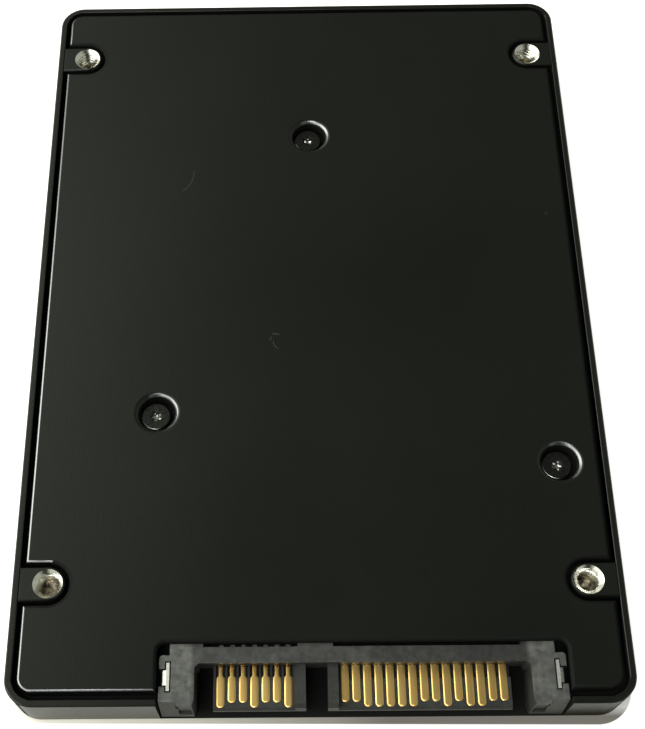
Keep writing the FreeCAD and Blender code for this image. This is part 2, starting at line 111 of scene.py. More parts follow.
MOUNTS = {mount["name"]: mount for mount in frame["record"]["mounts"]}
FACE_HOLES = bolt_holes(MOUNTS["mounting_holes"])
SIDE_HOLES = bolt_holes(MOUNTS["side_holes_left"]) + bolt_holes(MOUNTS["side_holes_right"])
HOLE_RADIUS = MOUNTS["mounting_holes"]["dims"]["hole_r_mm"] * MM
print("holes in the face:", [tuple(round(c / MM, 2) for c in mouth) for mouth, _ in FACE_HOLES])

# %% [markdown]
# ## The camera
#
# The drive is seen from above its connector end, from so near that the far end looks much smaller. The
# camera's place and aim were worked out from the drive's corners and holes, whose real sizes are known.
# The picture is a little off the middle of the view, which the lens shift takes up.

# %% Camera
CAMERA_PLACE = Vector((-3.414, -78.604, 142.602)) * MM
CAMERA_RIGHT = Vector((0.99990371, -0.00485604, -0.01299997))
CAMERA_DOWN = Vector((-0.00994874, -0.90393272, -0.42755895))
IMAGE_WIDTH = 645
IMAGE_HEIGHT = 729
FOCAL_PIXELS = 1235.16
VIEW_MIDDLE = (274.1, 410.8)

lens = bpy.data.cameras.new("lens")
lens.lens = FOCAL_PIXELS / IMAGE_HEIGHT * lens.sensor_width
lens.shift_x = (IMAGE_WIDTH / 2 - VIEW_MIDDLE[0]) / IMAGE_HEIGHT
lens.shift_y = (VIEW_MIDDLE[1] - IMAGE_HEIGHT / 2) / IMAGE_HEIGHT
lens.clip_start = MM
camera = bpy.data.objects.new("camera", lens)
bpy.context.collection.objects.link(camera)
up = -CAMERA_DOWN
turn = Matrix((CAMERA_RIGHT, up, CAMERA_RIGHT.cross(up))).transposed()
camera.matrix_world = Matrix.Translation(CAMERA_PLACE) @ turn.to_4x4()
bpy.context.scene.camera = camera
bpy.context.scene.view_settings.view_transform = "Standard"
print("lens", round(lens.lens, 2), "mm, shift", round(lens.shift_x, 4), round(lens.shift_y, 4))


# %% [markdown]
# ## Small helpers
#
# A material in Blender is a small network of nodes. Most of the work is the same each time: add a node,
# set it, and link its inputs. One function does that for every kind of node. Colours are written as
# the hex values that a paint chart shows, and turned to the linear values that a renderer adds up.
# Patterns are sized in real millimetres: a texture's scale is one over the size of its grain. Wear, tone
# and the room's light all change along some axis, so that has a helper too.


# %% Helpers for materials
def linear(hex_colour):
    """An sRGB hex colour as linear RGBA."""
    channels = [int(hex_colour[at:at + 2], 16) / 255 for at in (1, 3, 5)]
    curve = [c / 12.92 if c <= 0.04045 else ((c + 0.055) / 1.055) ** 2.4 for c in channels]
    return curve + [1.0]


def grain(size_mm):
    """The texture scale at which one grain is this many millimetres across."""
    return 1 / (size_mm * MM)


def add(tree, kind, inputs=None, **settings):
    """Adds one node. An input is a plain value, or another node's output to link."""
    node = tree.nodes.new(kind)
    for name, value in settings.items():
        setattr(node, name, value)
    for key, value in (inputs or {}).items():
        if isinstance(value, bpy.types.NodeSocket):
            tree.links.new(value, node.inputs[key])
        else:
            node.inputs[key].default_value = value
    return node


def start_material(name, colour, **sockets):
    """A new material with its shader set, and the coordinates that its patterns read."""
    material = bpy.data.materials.new(name)
    material.use_nodes = True
    tree = material.node_tree
    shader = tree.nodes["Principled BSDF"]
    shader.inputs["Base Color"].default_value = linear(colour)
    for socket, value in sockets.items():
        shader.inputs[socket.replace("_", " ")].default_value = value
    place = add(tree, "ShaderNodeTexCoord").outputs["Object"]
    return material, tree, shader, place


def surface_grain(tree, shader, place, size_mm, height_mm):
    """Fine relief of one grain size, as bump."""
    noise = add(
        tree, "ShaderNodeTexNoise", {"Vector": place, "Scale": grain(size_mm)}
    ).outputs["Fac"]
    bump = add(tree, "ShaderNodeBump", {"Height": noise, "Distance": height_mm * MM})
    tree.links.new(bump.outputs["Normal"], shader.inputs["Normal"])


def along(tree, place, axis, start, end, low, high):
    """A value that goes from low to high between two places on one axis."""
    coordinate = add(tree, "ShaderNodeSeparateXYZ", {0: place}).outputs[axis]
    return add(
        tree,
        "ShaderNodeMapRange",
        {"Value": coordinate, "From Min": start, "From Max": end, "To Min": low, "To Max": high},
    ).outputs["Result"]


print("one grain of a third of a millimetre is scale", round(grain(1 / 3)))

# %% [markdown]
# ## Hairs on the paint
#
# A few short hairs have settled on the cover. Each could be a thin curve of its own, but a mark in the
# paint's colour is enough for something so thin. A hair is drawn as a short arc: a point counts as part
# of it when its distance from the arc's middle is the arc's radius, and its angle lies between the
# arc's ends.


# %% Hairs
def hair(tree, place, middle_mm, radius_mm, start_deg, end_deg, width_mm):
    """A mask that is 1 on one short arc of the top face and 0 elsewhere."""
    middle = (middle_mm[0] * MM, middle_mm[1] * MM, 0)
    offset = add(tree, "ShaderNodeVectorMath", {0: place, 1: middle}, operation="SUBTRACT").outputs[0]
    flat = add(tree, "ShaderNodeVectorMath", {0: offset, 1: (1, 1, 0)}, operation="MULTIPLY").outputs[0]
    length = add(tree, "ShaderNodeVectorMath", {0: flat}, operation="LENGTH").outputs["Value"]
    on_ring = add(
        tree,
        "ShaderNodeMath",
        {0: length, 1: radius_mm * MM, 2: width_mm * MM},
        operation="COMPARE",
    ).outputs[0]
    split = add(tree, "ShaderNodeSeparateXYZ", {0: flat}).outputs
    angle = add(tree, "ShaderNodeMath", {0: split["Y"], 1: split["X"]}, operation="ARCTAN2").outputs[0]
    half = math.radians(end_deg - start_deg) / 2
    on_arc = add(
        tree,
        "ShaderNodeMath",
        {0: angle, 1: math.radians(start_deg) + half, 2: half},
        operation="COMPARE",
    ).outputs[0]
    return add(tree, "ShaderNodeMath", {0: on_ring, 1: on_arc}, operation="MULTIPLY").outputs[0]


HAIRS = [
    {"middle_mm": (-19.4, 21.0), "radius_mm": 4.0, "start_deg": -50, "end_deg": 3, "width_mm": 0.03},
    {"middle_mm": (-4.7, -4.95), "radius_mm": 1.16, "start_deg": 62, "end_deg": 108, "width_mm": 0.05},
    {"middle_mm": (-3.7, -4.8), "radius_mm": 1.23, "start_deg": -179, "end_deg": -117, "width_mm": 0.04},
    {"middle_mm": (-4.75, -4.75), "radius_mm": 0.59, "start_deg": 124, "end_deg": 176, "width_mm": 0.05},
]
print("hairs on the cover:", len(HAIRS))

# %% [markdown]
# ## Satin black paint
#
# The case is cast aluminium and the cover is drawn sheet. Both are sprayed with the same satin black,
# which has a faint green cast, a skin of grain about a third of a millimetre across, and slow cloudy
# changes of gloss where it was handled. One function mixes the paint, so that every coat is a kin of
# the others and only its tone, grain and gloss differ.


# %% Satin black paint
CLOUD_MM = 28
SKIN_HEIGHT_MM = 0.007
GLOSS_SWING = 0.02


def black_paint(name, colour, lighter, grain_mm, gloss, ior=1.45):
    """Sprayed satin black: cloudy tone, cloudy gloss and a fine skin."""
    material, tree, shader, place = start_material(name, colour, Roughness=gloss, IOR=ior)
    clouds = add(
        tree, "ShaderNodeTexNoise", {"Vector": place, "Scale": grain(CLOUD_MM), "Detail": 4.0}
    ).outputs["Fac"]
    skin = add(
        tree, "ShaderNodeTexNoise", {"Vector": place, "Scale": grain(grain_mm), "Detail": 3.0}
    ).outputs["Fac"]
    tone = add(tree, "ShaderNodeMath", {0: clouds, 1: skin}, operation="MULTIPLY").outputs[0]
    tone = add(
        tree, "ShaderNodeMapRange", {"Value": tone, "From Min": 0.12, "From Max": 0.42}
    ).outputs["Result"]
    painted = add(
        tree, "ShaderNodeMix", {"Factor": tone, 6: linear(colour), 7: linear(lighter)}, data_type="RGBA"
    ).outputs[2]
    tree.links.new(painted, shader.inputs["Base Color"])
    rough = add(
        tree,
        "ShaderNodeMapRange",
        {
            "Value": clouds,
            "From Min": 0.3,
            "From Max": 0.7,
            "To Min": gloss - GLOSS_SWING,
            "To Max": gloss + GLOSS_SWING,
        },
    ).outputs["Result"]
    tree.links.new(rough, shader.inputs["Roughness"])
    surface_grain(tree, shader, place, grain_mm, SKIN_HEIGHT_MM)
    return material, tree, shader, place


# %% [markdown]
# Dust lies on the cover as pale specks. A Voronoi pattern scatters one point in each cell of about nine
# millimetres, and a speck is what lies very close to such a point. How close is a share of the cell.

# %% Dust
DUST_CELL_MM = 9
DUST_COLOUR = "#8c8c82"
DUST_COVER = 0.2
SPECK_FULL = 0.012
SPECK_END = 0.02
SPECK_PALE = 0.5


def dusty(tree, shader, place):
    """Lays the hairs and a few specks of dust on a paint."""
    cells = add(
        tree, "ShaderNodeTexVoronoi", {"Vector": place, "Scale": grain(DUST_CELL_MM)}, feature="F1"
    ).outputs["Distance"]
    speck = add(
        tree,
        "ShaderNodeMapRange",
        {
            "Value": cells,
            "From Min": SPECK_FULL,
            "From Max": SPECK_END,
            "To Min": 1.0,
            "To Max": 0.0,
        },
    ).outputs["Result"]
    marks = add(tree, "ShaderNodeMath", {0: speck, 1: SPECK_PALE}, operation="MULTIPLY").outputs[0]
    for one in HAIRS:
        drawn = hair(tree, place, **one)
        marks = add(tree, "ShaderNodeMath", {0: drawn, 1: marks}, operation="MAXIMUM").outputs[0]
    thin = add(tree, "ShaderNodeMath", {0: marks, 1: DUST_COVER}, operation="MULTIPLY").outputs[0]
    paint = shader.inputs["Base Color"].links[0].from_socket
    dusted = add(
        tree, "ShaderNodeMix", {"Factor": thin, 6: paint, 7: linear(DUST_COLOUR)}, data_type="RGBA"
    ).outputs[2]
    tree.links.new(dusted, shader.inputs["Base Color"])


# %% [markdown]
# ## Lit on one side
#
# The painted highlights on the edges lie on the side that faces the lamps, mostly the front left. So the
# material has to know which way a surface looks. Each corner of a finished piece gets that direction as an
# attribute of its mesh, and the material compares it with the lit side. Bumps in a material don't change
# the attribute, so the painted highlight stays in one clean band.

# %% Which way a surface looks
LOOKS = "looks"


def looks_toward(tree, azimuth_deg, start, end):
    """0 to 1 as a surface turns to one side. Azimuth 0 is the front, 90 the left."""
    azimuth = math.radians(azimuth_deg)
    side = (-math.sin(azimuth), -math.cos(azimuth), 0)
    looks = add(tree, "ShaderNodeAttribute", attribute_name=LOOKS).outputs["Vector"]
    toward = add(
        tree, "ShaderNodeVectorMath", {0: looks, 1: side}, operation="DOT_PRODUCT"
    ).outputs["Value"]
    return add(
        tree, "ShaderNodeMapRange", {"Value": toward, "From Min": start, "From Max": end}
    ).outputs["Result"]


def store_looks(piece):
    """Writes on every corner of a piece which way its surface looks there."""
    looks = piece.data.attributes.new(LOOKS, "FLOAT_VECTOR", "CORNER")
    for corner, normal in zip(looks.data, piece.data.corner_normals):
        corner.vector = normal.vector
    print(f"{piece.name}: {len(looks.data)} corners know where they look")


# %% [markdown]
# On the side that faces the lamps, the rolled edges of the cover get a pale metallic colour: a painted
# highlight, drawn as a fine pale line. It starts a little below the top face, which keeps its plain paint,
# and it fades out further down. Below it the paint is plain again.

# %% Rubbed edges
HIGHLIGHT_METAL = "#88888c"
FADE_AT_FACE = 1.5
FADE_AT_FOOT = 1.3


def painted_edge_highlight(tree, shader, place, start_mm, depth_mm, azimuth_deg):
    """Paints a highlight as pale metal on the side facing the lamps, from a little below the top face down
    to a depth.
    """
    below_face = along(
        tree, place, "Z", TOP - FADE_AT_FACE * start_mm * MM, TOP - start_mm * MM, 1.0, 0.0
    )
    above_foot = along(
        tree, place, "Z", TOP - FADE_AT_FOOT * depth_mm * MM, TOP - depth_mm * MM, 0.0, 1.0
    )
    highlit = looks_toward(tree, azimuth_deg, 0.0, 0.25)
    for band in (below_face, above_foot):
        highlit = add(tree, "ShaderNodeMath", {0: highlit, 1: band}, operation="MULTIPLY").outputs[0]
    paint = shader.inputs["Base Color"].links[0].from_socket
    highlit_colour = add(
        tree, "ShaderNodeMix", {"Factor": highlit, 6: paint, 7: linear(HIGHLIGHT_METAL)}, data_type="RGBA"
    ).outputs[2]
    tree.links.new(highlit_colour, shader.inputs["Base Color"])
    tree.links.new(highlit, shader.inputs["Metallic"])


# %% [markdown]
# Now the coats themselves. The cover and its cups share one paint and differ in where their painted
# highlight lies. The casting is a touch rougher than the sheet. Down in the grooves and cups a blacker and
# quite dull coat stands for the shade there: painted shade, which is what makes the gaps look deep.

# %% The coats of paint
COVER_PAINT, *cover_nodes = black_paint("satin_black_on_sheet", "#0b0e0a", "#111510", 0.35, 0.27)
dusty(*cover_nodes)
# Painted highlight on the rolled edges and the cups' edges that face the lamps.
painted_edge_highlight(*cover_nodes, start_mm=0.015, depth_mm=0.4, azimuth_deg=45)
CUP_PAINT, *cup_nodes = black_paint("satin_black_in_cups", "#0b0e0a", "#111510", 0.35, 0.27)
painted_edge_highlight(*cup_nodes, start_mm=0.06, depth_mm=0.26, azimuth_deg=60)
CASE_PAINT = black_paint("satin_black_on_casting", "#0c0e0b", "#12150f", 0.45, 0.3)[0]
# A blacker, dull coat used as painted shade in grooves, cups and on edges turned from the lamps.
DULL_SHADE_PAINT = black_paint("dull_painted_shade", "#060706", "#0a0b09", 0.3, 0.75, 1.3)[0]
print("paints:", COVER_PAINT.name, CUP_PAINT.name, CASE_PAINT.name, DULL_SHADE_PAINT.name)


# %% [markdown]
# ## Metals
#
# The tapped holes were cut after painting, so their threads and countersinks are bright aluminium. The
# screws are blackened steel. The blades of the connector are phosphor bronze under a thin plating of
# gold, and the board locks are plated with tin. A metal takes its look from its colour, its roughness
# and its ripples, which are very fine on cut aluminium and drawn out along the blade on the gold.


# %% A worked metal
ROUGHNESS_SWING = 0.08


def plated_metal(name, colour, darker, roughness, ripple_mm, height_mm, stretch=(1, 1, 1)):
    """A metal with a little tone and relief, drawn out along the way it was worked."""
    material, tree, shader, place = start_material(
        name, colour, Metallic=1.0, Roughness=roughness
    )
    drawn = add(tree, "ShaderNodeMapping", {"Vector": place, "Scale": stretch}).outputs[0]
    ripple = add(
        tree, "ShaderNodeTexNoise", {"Vector": drawn, "Scale": grain(ripple_mm), "Detail": 3.0}
    ).outputs["Fac"]
    tone = add(
        tree, "ShaderNodeMapRange", {"Value": ripple, "From Min": 0.35, "From Max": 0.65}
    ).outputs["Result"]
    worked = add(
        tree, "ShaderNodeMix", {"Factor": tone, 6: linear(darker), 7: linear(colour)}, data_type="RGBA"
    ).outputs[2]
    tree.links.new(worked, shader.inputs["Base Color"])
    rough = add(
        tree,
        "ShaderNodeMapRange",
        {
            "Value": ripple,
            "To Min": roughness + ROUGHNESS_SWING,
            "To Max": roughness - ROUGHNESS_SWING,
        },
    ).outputs["Result"]
    tree.links.new(rough, shader.inputs["Roughness"])
    surface_grain(tree, shader, drawn, ripple_mm, height_mm)
    return material


def painted_side_highlight(metal, azimuth_deg, bright):
    """Paints a highlight: a bright metal where a dark one turns to the side of the lamps."""
    tree = metal.node_tree
    shader = tree.nodes["Principled BSDF"]
    dark = shader.inputs["Base Color"].links[0].from_socket
    lit_side = looks_toward(tree, azimuth_deg, 0.25, 0.45)
    mixed = add(
        tree, "ShaderNodeMix", {"Factor": lit_side, 6: dark, 7: linear(bright)}, data_type="RGBA"
    ).outputs[2]
    tree.links.new(mixed, shader.inputs["Base Color"])


# %% [markdown]
# Each metal of the drive is this recipe with its own two tones, roughness and grain. The grain and the
# relief are drawn a little coarser than they are, or they wouldn't show in a picture of this size.

# %% Metals
# Cut bright after painting: the lamps show in it as soft white patches.
CUT_ALUMINIUM = plated_metal("cut_aluminium", "#f6f5f0", "#d6d4c8", 0.2, 0.12, 0.003)
# The bottoms of the holes are a darker, browner and blotchy aluminium.
DARK_HOLE_ALUMINIUM = plated_metal("darker_aluminium_in_hole_bottoms", "#c4bba4", "#453e31", 0.3, 0.4, 0.01)
# Chemically blackened: dark grey with a soft sheen.
BLACK_STEEL = plated_metal("blackened_steel", "#3b3c3a", "#2b2c2b", 0.42, 0.3, 0.003)
# The rim of a screw's head, with a painted highlight in bright metal on one side.
HIGHLIT_RIM_STEEL = plated_metal("black_steel_with_painted_highlight", "#3b3c3a", "#2b2c2b", 0.3, 0.3, 0.003)
painted_side_highlight(HIGHLIT_RIM_STEEL, 42, "#f0f0ea")
# The foot of a screw's recess, scraped bright by the driver: it gives a few white glints.
BRIGHT_STEEL = plated_metal("worn_steel", "#d8d8d2", "#8c8c88", 0.28, 0.15, 0.006)
# Thin gold over bronze strip: warm, with ripples drawn out along the blade.
GOLD = plated_metal("gold_plate", "#fcd78c", "#ecc070", 0.36, 0.3, 0.001, (1, 0.1, 1))
# Where the plating ends: brown and dull.
DULL_BRONZE = plated_metal("dull_bronze", "#5c4326", "#3a2a18", 0.5, 0.3, 0.003)
# Tin from a bath: white and slightly matt.
TIN = plated_metal("tin_plate", "#fbfbf8", "#dddcd6", 0.42, 0.3, 0.004)
# A crystal's drawn can: yellowish grey and fairly bright.
NICKEL = plated_metal("nickel_can", "#c9c7c0", "#a9a79f", 0.3, 0.4, 0.002)
print("metals:", CUT_ALUMINIUM.name, BLACK_STEEL.name, GOLD.name, TIN.name)


# %% [markdown]
# ## Moulded and laminated stuff
#
# The connector is moulded from a glass-filled polymer: dark grey, matt, with pale flow marks where the
# glass came to the skin. Inside lie the circuit board and its parts. They can't be seen in the picture,
# but whoever opens the drive in a scene of their own should find them finished too.


# %% A moulded material
def speckled(name, colour, fleck, roughness, fleck_mm, flow_mm, height_mm):
    """A moulded or pressed material: a plain ground, slow flow marks and small flecks."""
    material, tree, shader, place = start_material(name, colour, Roughness=roughness, IOR=1.5)
    flow = add(
        tree,
        "ShaderNodeTexNoise",
        {"Vector": place, "Scale": grain(flow_mm), "Detail": 5.0, "Distortion": 0.6},
    ).outputs["Fac"]
    flecks = add(
        tree, "ShaderNodeTexNoise", {"Vector": place, "Scale": grain(fleck_mm), "Detail": 2.0}
    ).outputs["Fac"]
    both = add(tree, "ShaderNodeMath", {0: flow, 1: flecks}, operation="MULTIPLY").outputs[0]
    tone = add(
        tree, "ShaderNodeMapRange", {"Value": both, "From Min": 0.14, "From Max": 0.42}
    ).outputs["Result"]
    moulded = add(
        tree, "ShaderNodeMix", {"Factor": tone, 6: linear(colour), 7: linear(fleck)}, data_type="RGBA"
    ).outputs[2]
    tree.links.new(moulded, shader.inputs["Base Color"])
    rough = add(
        tree,
        "ShaderNodeMapRange",
        {
            "Value": flow,
            "To Min": roughness + ROUGHNESS_SWING,
            "To Max": roughness - ROUGHNESS_SWING,
        },
    ).outputs["Result"]
    tree.links.new(rough, shader.inputs["Roughness"])
    surface_grain(tree, shader, place, fleck_mm, height_mm)
    return material


# %% [markdown]
# The guide arms at the ends are drawn paler than the long bar between them, and the bar grows darker to
# the right. How much of that is the plastic and how much the light can't be told, so it is simply given
# to the colour, by a factor that depends on the place across the connector; in part it is painted light.
# Low down in the cavities, and on faces that look out of the connector's mouth, the plastic is drawn
# almost black as painted shade.

# %% Moulded materials
# Glass-filled and matt: dark grey with faint pale clouds. The flecks are coarser than real, to show.
CONNECTOR_PLASTIC = speckled("glass_filled_polymer", "#353535", "#545453", 0.45, 0.6, 3.2, 0.01)
# The same polymer low in the cavities, drawn almost black as painted shade.
CAVITY_SHADE_PLASTIC = speckled("glass_filled_polymer_painted_shade", "#222321", "#363735", 0.5, 0.3, 2.2, 0.006)
# Chip packages: black, very fine grained.
CHIP_RESIN = speckled("moulded_epoxy", "#1b1b1d", "#2c2c2f", 0.5, 0.08, 2.0, 0.006)
# Dipped or moulded capacitor bodies: amber yellow.
CAPACITOR_RESIN = speckled("capacitor_resin", "#c08a2c", "#d6a548", 0.45, 0.2, 3.0, 0.004)
# Pressed and fired powder: grey, dry and a little rough.
FERRITE = speckled("pressed_ferrite", "#3f3f42", "#58585c", 0.55, 0.1, 1.0, 0.01)
# Filled silicone: blue grey, soft and dull.
SILICONE = speckled("silicone_pad", "#8fa3b0", "#a5b7c2", 0.65, 0.3, 4.0, 0.012)

ARM_STEP = 0.8 * MM
LEFT_ARM_END = -13.6 * MM
RIGHT_ARM_START = 22.8 * MM
BAR_SHADE = (-13 * MM, 22 * MM)
BAR_TONES = (0.95, 0.45)
LEFT_ARM_TONE = 1.8
RIGHT_ARM_TONE = 1.55


def paler_arms(material):
    """The arms come out paler than the bar between them, and the bar darkens to the right: in part painted
    light.
    """
    tree = material.node_tree
    shader = tree.nodes["Principled BSDF"]
    place = add(tree, "ShaderNodeTexCoord").outputs["Object"]
    tone = along(tree, place, "X", *BAR_SHADE, *BAR_TONES)
    left_arm = along(tree, place, "X", LEFT_ARM_END - ARM_STEP, LEFT_ARM_END, LEFT_ARM_TONE, 0.0)
    right_arm = along(
        tree, place, "X", RIGHT_ARM_START, RIGHT_ARM_START + ARM_STEP, 0.0, RIGHT_ARM_TONE
    )
    for arm in (left_arm, right_arm):
        tone = add(tree, "ShaderNodeMath", {0: tone, 1: arm}, operation="MAXIMUM").outputs[0]
    colour = shader.inputs["Base Color"].links[0].from_socket
    scaled = add(tree, "ShaderNodeVectorMath", {0: colour, "Scale": tone}, operation="SCALE")
    tree.links.new(scaled.outputs[0], shader.inputs["Base Color"])


paler_arms(CONNECTOR_PLASTIC)
print("mouldings:", CONNECTOR_PLASTIC.name, CAVITY_SHADE_PLASTIC.name, CHIP_RESIN.name)

# %% [markdown]
# The board is glass cloth in resin under a dark green solder mask. The weave of the cloth shows through
# as faint bands. Real threads are finer than the bands drawn here, but they would be too fine to show.


# %% Circuit board
def solder_mask():
    """Dark green solder mask over woven glass, whose weave just shows."""
    material, tree, shader, place = start_material(
        "solder_mask", "#0a1c13", Roughness=0.32, IOR=1.5
    )
    weave = add(
        tree,
        "ShaderNodeTexWave",
        {"Vector": place, "Scale": grain(5.0), "Distortion": 0.4},
        wave_type="BANDS",
        bands_direction="X",
    ).outputs["Fac"]
    masked = add(
        tree,
        "ShaderNodeMix",
        {"Factor": weave, 6: linear("#081710"), 7: linear("#0c2017")},
        data_type="RGBA",
    ).outputs[2]
    tree.links.new(masked, shader.inputs["Base Color"])
    surface_grain(tree, shader, place, 0.5, 0.004)
    return material


BOARD_MASK = solder_mask()
print("board:", BOARD_MASK.name)

# %% [markdown]
# ## Giving the parts their finish
#
# Every part of the frame keeps its shape and only changes its material. The names say what each is, so
# a list of name beginnings is enough. A name that no beginning fits would stay bare, so it is reported.

# %% Materials for the parts of the frame
FINISHES = {
    "main_case": CASE_PAINT,
    "bottom_cover": COVER_PAINT,
    "cover_screws": BLACK_STEEL,
    "circuit_board": BOARD_MASK,
    "connector_housing": CONNECTOR_PLASTIC,
    "signal_contact": GOLD,
    "power_contact": GOLD,
    "board_lock": TIN,
    "thermal_pad": SILICONE,
    "hold_up_capacitor": CAPACITOR_RESIN,
    "clock_crystal": NICKEL,
    "inductor": FERRITE,
    "controller_chip": CHIP_RESIN,
    "cache_chip": CHIP_RESIN,
    "power_chip": CHIP_RESIN,
    "flash_chip": CHIP_RESIN,
}
for name, node in frame["nodes"].items():
    fitting = [finish for start, finish in FINISHES.items() if name.startswith(start)]
    if not fitting:
        print("no finish for", name)
        continue
    node.data.materials.clear()
    node.data.materials.append(fitting[0])
print("dressed", len(frame["nodes"]), "parts")


# %% [markdown]
# ## Working on a copy
#
# A part of the frame is loose triangles. To round its edges, a copy is first merged into one skin, and
# triangles that lie in one plane are joined into whole faces. Then only the edges that are sharp and in
# the right place are chosen and bevelled, as a hand would run along them with a file.


# %% Helpers for modelling
def only(piece):
    """Makes one object the only one selected, and the active one."""
    bpy.ops.object.select_all(action="DESELECT")
    piece.select_set(True)
    bpy.context.view_layer.objects.active = piece


def merged_copy(node, name):
    """A copy of a part's mesh as one closed skin with whole flat faces."""
    mesh = frame["nodes"][node].data.copy()
    mesh.name = name
    piece = bpy.data.objects.new(name, mesh)
    bpy.context.collection.objects.link(piece)
    only(piece)
    bpy.ops.object.mode_set(mode="EDIT")
    bpy.ops.mesh.select_all(action="SELECT")
    bpy.ops.mesh.remove_doubles(threshold=0.001 * MM)
    bpy.ops.mesh.customdata_custom_splitnormals_clear()
    bpy.ops.mesh.dissolve_limited(angle_limit=math.radians(0.5))
    bpy.ops.object.mode_set(mode="OBJECT")
    return piece


def round_edges(piece, wanted, width_mm, segments, sharp_deg=25):
    """Bevels the sharp edges that are wanted. wanted(a, b) is given an edge's two ends."""
    only(piece)
    bpy.ops.object.mode_set(mode="EDIT")
    bpy.ops.mesh.select_mode(type="EDGE")
    bpy.ops.mesh.select_all(action="DESELECT")
    skin = bmesh.from_edit_mesh(piece.data)
    count = 0
    for edge in skin.edges:
        if len(edge.link_faces) != 2:
            continue
        sharp = edge.calc_face_angle(0) > math.radians(sharp_deg)
        if sharp and wanted(edge.verts[0].co, edge.verts[1].co):
            edge.select = True
            count += 1
    bmesh.update_edit_mesh(piece.data)
    bpy.ops.mesh.bevel(offset=width_mm * MM, segments=segments, affect="EDGES", clamp_overlap=False)
    bpy.ops.object.mode_set(mode="OBJECT")
    print(piece.name, "edges rounded:", count)


def finish_piece(piece, material, slot, *nodes):
    """Shades a piece, gives it its finish and puts it in the place of its parts."""
    only(piece)
    bpy.ops.object.shade_smooth_by_angle(angle=math.radians(30))
    weights = piece.modifiers.new("flat_faces_stay_flat", "WEIGHTED_NORMAL")
    weights.keep_sharp = True
    bpy.ops.object.modifier_apply(modifier=weights.name)
    if material is not None:
        piece.data.materials.clear()
        piece.data.materials.append(material)
    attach(piece, "root")
    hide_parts(*nodes)
    print(piece.name, "faces:", len(piece.data.polygons))


# %% [markdown]
# ## Where the screws are
#
# The cups of the cover and the screws in them share their axes. The screws of the bare model are split
# into loose parts, and the middle of each one's box is its place.

# %% Where the screws are
merged_copy("cover_screws", "screw_places")
bpy.ops.object.mode_set(mode="EDIT")
bpy.ops.mesh.separate(type="LOOSE")
bpy.ops.object.mode_set(mode="OBJECT")
SCREW_PLACES = []
for part in list(bpy.context.selected_objects):
    points = [vertex.co for vertex in part.data.vertices]
    low = Vector(min(p[axis] for p in points) for axis in range(3))
    high = Vector(max(p[axis] for p in points) for axis in range(3))
    SCREW_PLACES.append((low + high) / 2)
    HEAD_RADIUS = (high.x - low.x) / 2
    bpy.data.objects.remove(part)
SCREW_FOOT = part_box("cover_screws")[0].z
HEAD_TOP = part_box("cover_screws")[1].z
print("screws at, mm:", [tuple(round(c / MM, 2) for c in place) for place in SCREW_PLACES])

# %% [markdown]
# ## The cover
#
# The cover is one drawn sheet. Where the tool pulled it over its edge, round the outline, the four
# notches and the three screw cups, the sheet has a small even radius. That radius is what draws the thin
# bright line in the picture. The bare model has a flat bevel there, so both of its edges are rounded,
# which together makes nearly a true quarter round.

# %% Rolled edges of the cover
cover = merged_copy("bottom_cover", "drawn_cover")
ROLLED_EDGE_DEPTH = 0.5 * MM
CUP_REACH = 3.1 * MM
LEVEL = 0.01 * MM


def is_level(first, second):
    return abs(first.z - second.z) < LEVEL


def near_cup(point):
    return any((point.xy - place.xy).length < CUP_REACH for place in SCREW_PLACES)


def on_rolled_edge(first, second):
    return is_level(first, second) and min(first.z, second.z) > TOP - ROLLED_EDGE_DEPTH


def on_cup_edge(first, second):
    return on_rolled_edge(first, second) and near_cup(first)


def on_outline(first, second):
    return on_rolled_edge(first, second) and not near_cup(first)


round_edges(cover, on_cup_edge, 0.24, 4)
round_edges(cover, on_outline, 0.165, 4)

# %% [markdown]
# Each face of the cover now gets one of three coats. The flat face and the edges that face the lamps get
# the good paint with its painted highlight, the cups get theirs, and all that lies deep or faces away from
# the lamps gets the blacker, dull coat as painted shade. The lit edges are the left outline, the front one
# up to the connector, and the straight stretch of the near left notch.

# %% Coats of the cover
BEND_FOOT = 0.85 * MM
CUP_BEND_FOOT = 0.5 * MM
LEFT_EDGE = -32.5 * MM
FRONT_EDGE = -47.7 * MM
CONNECTOR_CUT_LEFT = -18.2 * MM
NOTCH_RIGHT = -30.6 * MM
NOTCH_FRONT = -34.5 * MM
NOTCH_BACK = -31 * MM
GOOD_COAT, SHADE_COAT, CUP_COAT = range(3)


def is_lit_edge(point):
    """Whether a place on the cover's outline faces the lamps and gets the painted highlight."""
    on_left = point.x < LEFT_EDGE
    on_front_left = point.y < FRONT_EDGE and point.x < CONNECTOR_CUT_LEFT
    on_near_notch = point.x < NOTCH_RIGHT and NOTCH_FRONT < point.y < NOTCH_BACK
    return on_left or on_front_left or on_near_notch


cover.data.materials.clear()
for coat in (COVER_PAINT, DULL_SHADE_PAINT, CUP_PAINT):
    cover.data.materials.append(coat)
for face in cover.data.polygons:
    middle = face.center
    is_flat = face.normal.z > 0.999 and middle.z > TOP - LEVEL
    if near_cup(middle):
        face.material_index = SHADE_COAT if middle.z < TOP - CUP_BEND_FOOT else CUP_COAT
    # Deep faces and edges turned from the lamps get painted shade.
    elif middle.z < TOP - BEND_FOOT or not (is_flat or is_lit_edge(middle)):
        face.material_index = SHADE_COAT
    else:
        face.material_index = GOOD_COAT
finish_piece(cover, None, "cover_paint", "bottom_cover")
store_looks(cover)

# %% [markdown]
# ## The case
#
# The case is a casting with machined edges. The pads round the holes get the smallest edge, the rim and
# the foot a larger one.

# %% Case
case = merged_copy("main_case", "cast_case")
CASE_RIGHT = CAD_BOX[1].x

